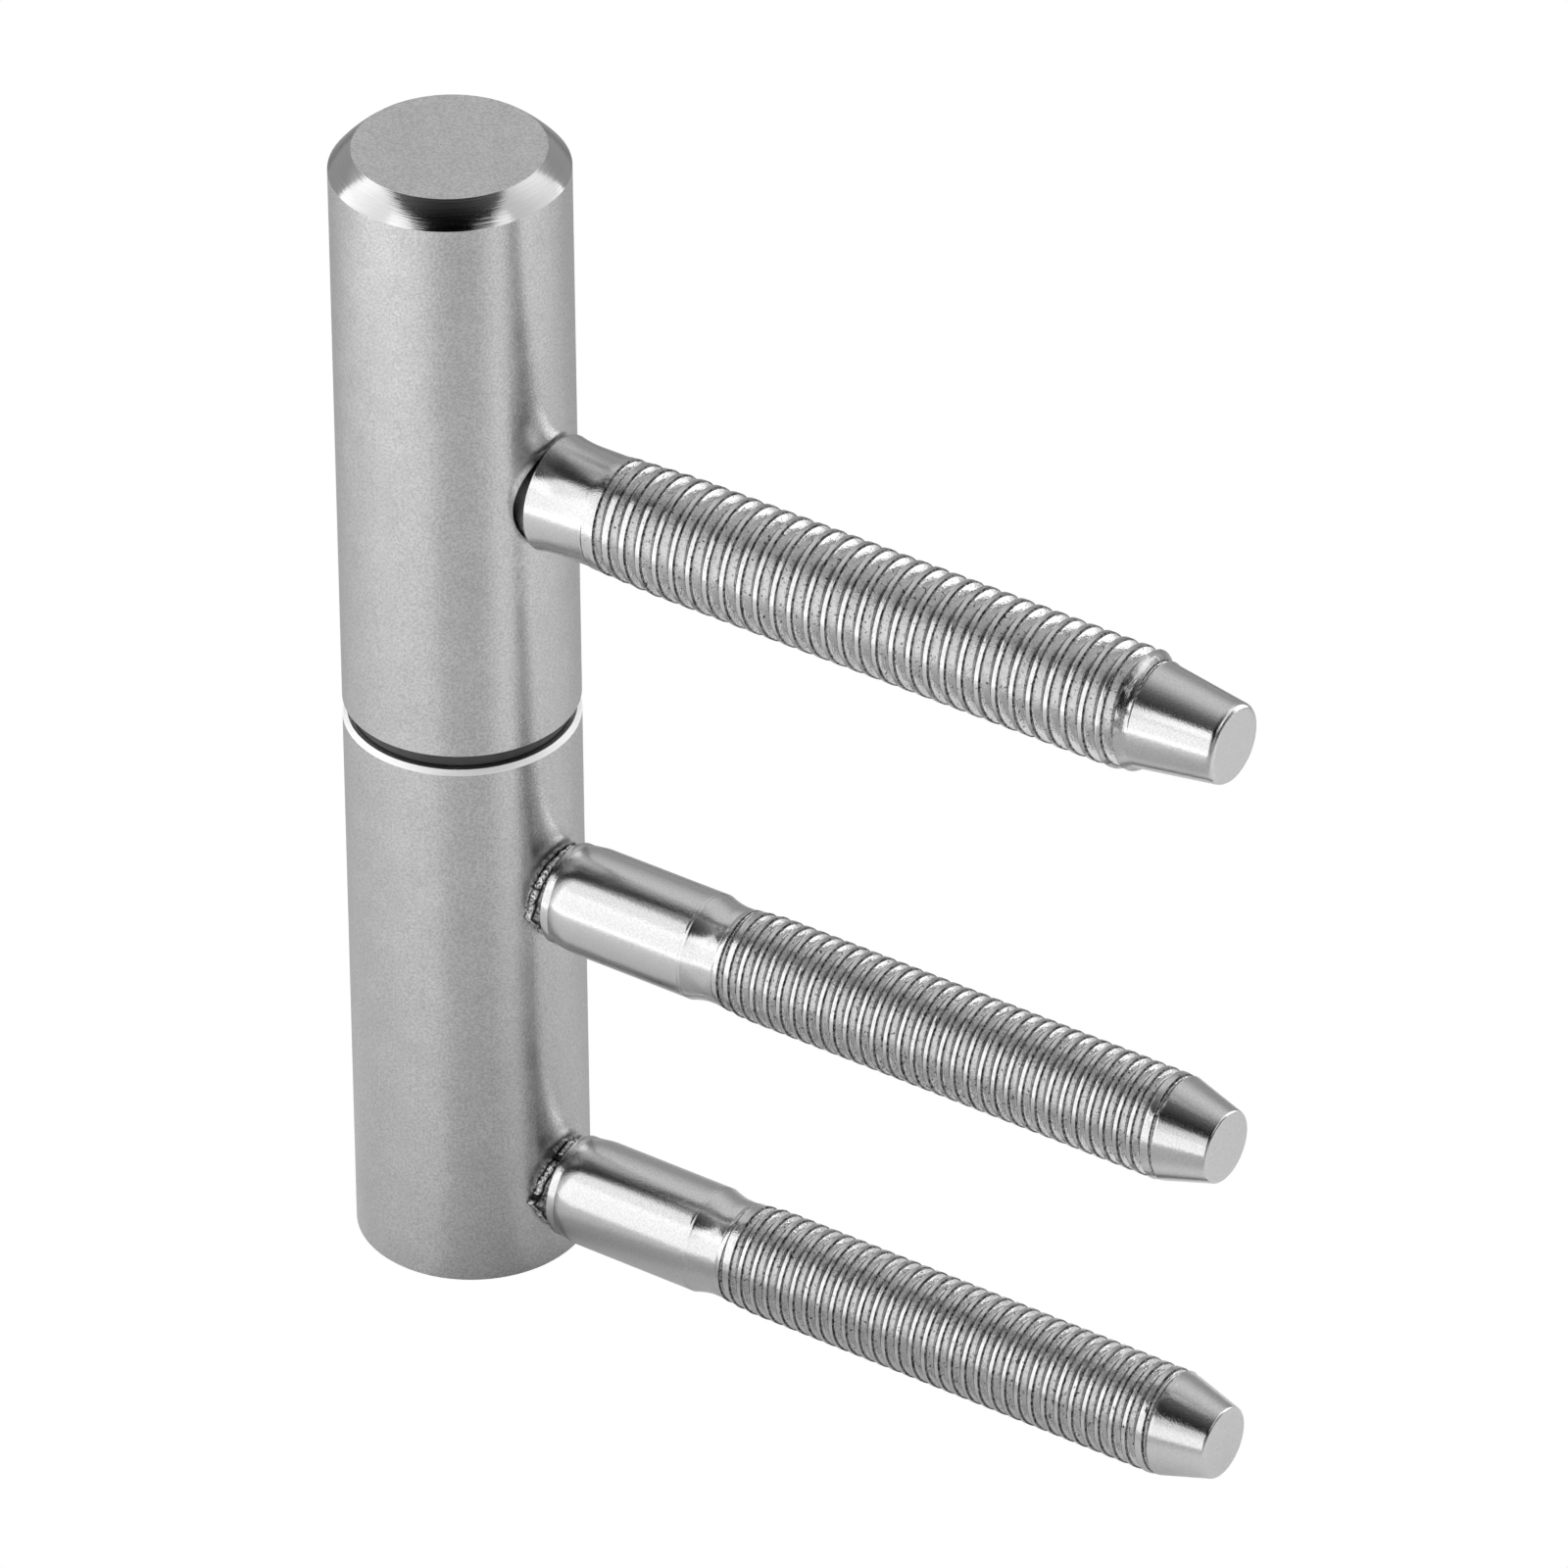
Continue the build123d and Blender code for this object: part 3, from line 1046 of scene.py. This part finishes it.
def table_material():
    """Pale matt table, with painted pools of light to the left and right of the hinge and painted shadow in
    front of it and behind it.
    """
    shader = Shader("pale_table", grey(TABLE_GREY), metallic=0.0, roughness=0.9)
    shader.base.inputs["Specular IOR Level"].default_value = 0.0
    color = grey(TABLE_GREY)
    for degrees, low, high, shade in TABLE_LIGHT_AND_SHADE_ZONES:
        nearness = shader.towards(bearing(degrees))
        color = shader.blend(shader.ranged(nearness, low, high, 0.0, 1.0), color, grey(shade))
    shader.tint_with(color)
    return shader.material


def add_plane(name, height, half, material):
    """Level square, as far as half each way from the hinge axis."""
    mesh = bpy.data.meshes.new(name)
    corners = [(-half, -half, height), (half, -half, height), (half, half, height), (-half, half, height)]
    mesh.from_pydata(corners, [], [(0, 1, 2, 3)])
    mesh.materials.append(material)
    plane = bpy.data.objects.new(name, mesh)
    bpy.context.scene.collection.objects.link(plane)
    return plane


def add_backdrop(name, radius, material):
    """Pale dome behind everything, seen only by the camera."""
    bm = bmesh.new()
    bmesh.ops.create_uvsphere(bm, u_segments=48, v_segments=24, radius=radius)
    mesh = bpy.data.meshes.new(name)
    bm.to_mesh(mesh)
    bm.free()
    mesh.materials.append(material)
    dome = bpy.data.objects.new(name, mesh)
    bpy.context.scene.collection.objects.link(dome)
    return dome


def only_for_camera(thing):
    """Neither metal nor table sees the thing, and it shades nothing."""
    thing.visible_diffuse = False
    thing.visible_glossy = False
    thing.visible_transmission = False
    thing.visible_volume_scatter = False
    thing.visible_shadow = False


def add_world():
    """Dim room: lighter behind the hinge, the more so higher up, a little at the sides, and low in front."""
    world = bpy.data.worlds.new("studio")
    world.use_nodes = True
    bpy.context.scene.world = world
    nodes = world.node_tree.nodes
    links = world.node_tree.links
    background = nodes["Background"]
    place = nodes.new("ShaderNodeTexCoord").outputs["Generated"]

    def along(direction):
        node = nodes.new("ShaderNodeVectorMath")
        node.operation = "DOT_PRODUCT"
        node.inputs[1].default_value = direction
        links.new(place, node.inputs[0])
        return node.outputs["Value"]

    def ranged(value, low, high, to_low, to_high, kind="LINEAR"):
        node = nodes.new("ShaderNodeMapRange")
        node.interpolation_type = kind
        node.inputs["From Min"].default_value = low
        node.inputs["From Max"].default_value = high
        node.inputs["To Min"].default_value = to_low
        node.inputs["To Max"].default_value = to_high
        links.new(value, node.inputs["Value"])
        return node.outputs["Result"]

    def combine(operation, first, second):
        node = nodes.new("ShaderNodeMath")
        node.operation = operation
        links.new(first, node.inputs[0])
        links.new(second, node.inputs[1])
        return node.outputs["Value"]

    behind = ranged(along(away_from_view), -0.22, 0.50, 0.0, 1.0, "SMOOTHSTEP")
    rising = ranged(along(upwards), 0.3, 0.7, 0.31, 0.76)
    sides = ranged(along(away_from_view), -0.6, -0.1, 0.0, 0.144, "SMOOTHSTEP")
    front = ranged(along(bearing(15)), 0.78, 0.94, 0.0, 0.5, "SMOOTHSTEP")
    low = ranged(along(upwards), 0.35, 0.50, 1.0, 0.0)
    total = combine("ADD", combine("MULTIPLY", behind, rising), combine("MULTIPLY", front, low))
    links.new(combine("ADD", total, sides), background.inputs["Strength"])
    background.inputs["Color"].default_value = (1, 1, 1, 1)


def add_left_box(name, low, high, radiance):
    add_softbox(name, LEFT_BEARING, LEFT_DISTANCE, low, high, LEFT_SPAN, radiance)


def add_right_box(name, low, high, near_side, radiance, on_floor=True, in_metal=True):
    span = (RIGHT_FAR_SIDE, near_side)
    add_softbox(name, RIGHT_BEARING, RIGHT_DISTANCE, low, high, span, radiance, on_floor, in_metal)


def add_front_box(name, towards, radiance):
    add_softbox(name, towards, FRONT_DISTANCE, FRONT_BOTTOM, FRONT_TOP, FRONT_SPAN, radiance, on_floor=False)


def build_studio():
    """All the lights, the table, and the white background.

    Low on the right, metal mirrors a narrower and dimmer softbox than the one that lights the table.
    """
    add_left_box("left_low", LEFT_BOTTOM, LEFT_SEAM, radiance=1.62)
    add_left_box("left_high", LEFT_SEAM, LEFT_TOP, radiance=1.25)
    add_right_box("right_low", RIGHT_BOTTOM, RIGHT_SEAM, near_side=0.010, radiance=2.1, on_floor=False)
    add_right_box("right_floor", RIGHT_BOTTOM, RIGHT_SEAM, near_side=0.090, radiance=2.93, in_metal=False)
    add_right_box("right_high", RIGHT_SEAM, RIGHT_TOP, near_side=0.225, radiance=0.82)
    add_front_box("left_front", -FRONT_BEARING, radiance=0.6)
    add_front_box("right_front", FRONT_BEARING, radiance=0.8)
    add_overhead("overhead", OVERHEAD_HEIGHT, OVERHEAD_SIZE, radiance=0.9)
    table = add_plane("table", foot_height - TABLE_DROP, TABLE_HALF, table_material())
    table.visible_camera = False
    floor = add_plane("floor", foot_height - FLOOR_DROP, FLOOR_HALF, glowing_material("pale_floor"))
    only_for_camera(floor)
    backdrop = add_backdrop("backdrop", BACKDROP_RADIUS, glowing_material("pale_backdrop"))
    only_for_camera(backdrop)
    add_world()
    bpy.context.scene.view_settings.view_transform = "Standard"


# The work in its order

bright = arm_material()
weld = weld_material()
leaf_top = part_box("upper_barrel")[1].z / MM
frame_top = barrel_high.z / MM
build_upper_arm(bright)
build_frame_arm("middle_arm", "middle_threaded_arm", MIDDLE_MARK, MIDDLE_SEED, bright)
build_frame_arm("lower_arm", "lower_threaded_arm", LOWER_MARK, LOWER_SEED, bright)
build_weld_bead(
    "middle_arm", "middle_weld_bead", MIDDLE_BEAD_SEED, MIDDLE_BEAD_CORNERS, MIDDLE_BEAD_NOTCHES, weld
)
build_weld_bead("lower_arm", "lower_weld_bead", LOWER_BEAD_SEED, LOWER_BEAD_CORNERS, LOWER_BEAD_NOTCHES, weld)
leaf_barrel = barrel_material(
    "satin_leaf_barrel", leaf_top, TOP_CHAMFER, chamfer_grey=0.55, chamfer_rough=0.13, chamfer_metal=1.0
)
# On the frame barrel's rim chamfer, the near-white, partly matt grey is a painted highlight
frame_barrel = barrel_material(
    "satin_frame_barrel", frame_top, RIM_CHAMFER, chamfer_grey=0.97, chamfer_rough=0.5, chamfer_metal=0.3
)
dress_nodes({
    "upper_barrel": leaf_barrel,
    "lower_barrel": frame_barrel,
    "hinge_pin": pin_material(),
    "bearing_bush": bush_material(),
    "thrust_ring": ring_material(),
})
place_camera()
build_studio()
